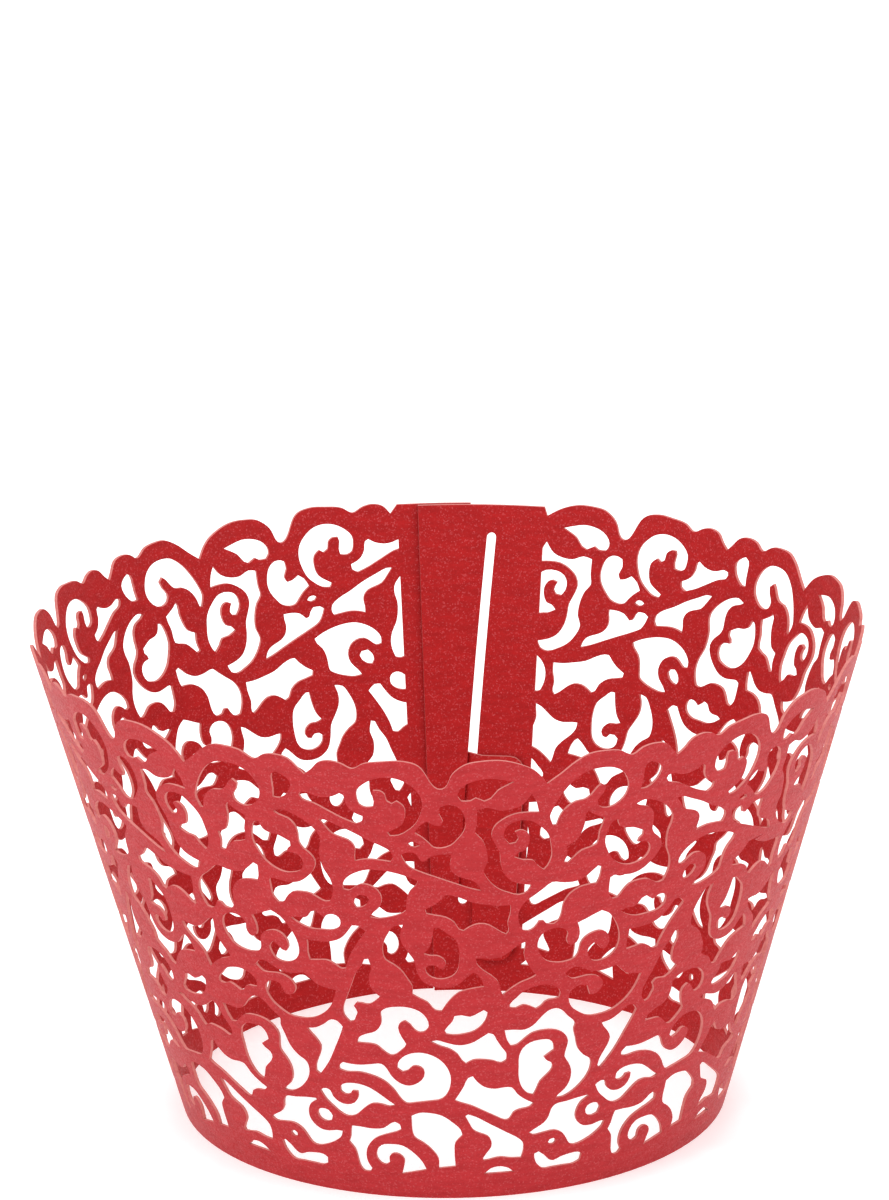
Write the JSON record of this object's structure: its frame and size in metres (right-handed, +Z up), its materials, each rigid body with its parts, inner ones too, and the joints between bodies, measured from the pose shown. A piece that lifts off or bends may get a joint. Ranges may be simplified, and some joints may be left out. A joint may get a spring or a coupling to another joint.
{
  "type": "cupcake wrapper",
  "caption": "Decorative cupcake wrapper: a cone-shaped band of laser-cut red pearl card with a vine lattice, scalloped rim and slit-and-tab closure.",
  "frame": {"origin": "centre of the base edge, on the plane that the wrapper stands on", "axes": "+Z up through the open rim, the front faces -Y and the slit-and-tab seam is near +Y"},
  "size_m": [0.0801, 0.0804, 0.0484],
  "materials": {
    "card": "satin"
  },
  "bodies": {
    "root": {"wrapper": "card"}
  },
  "joints": []
}
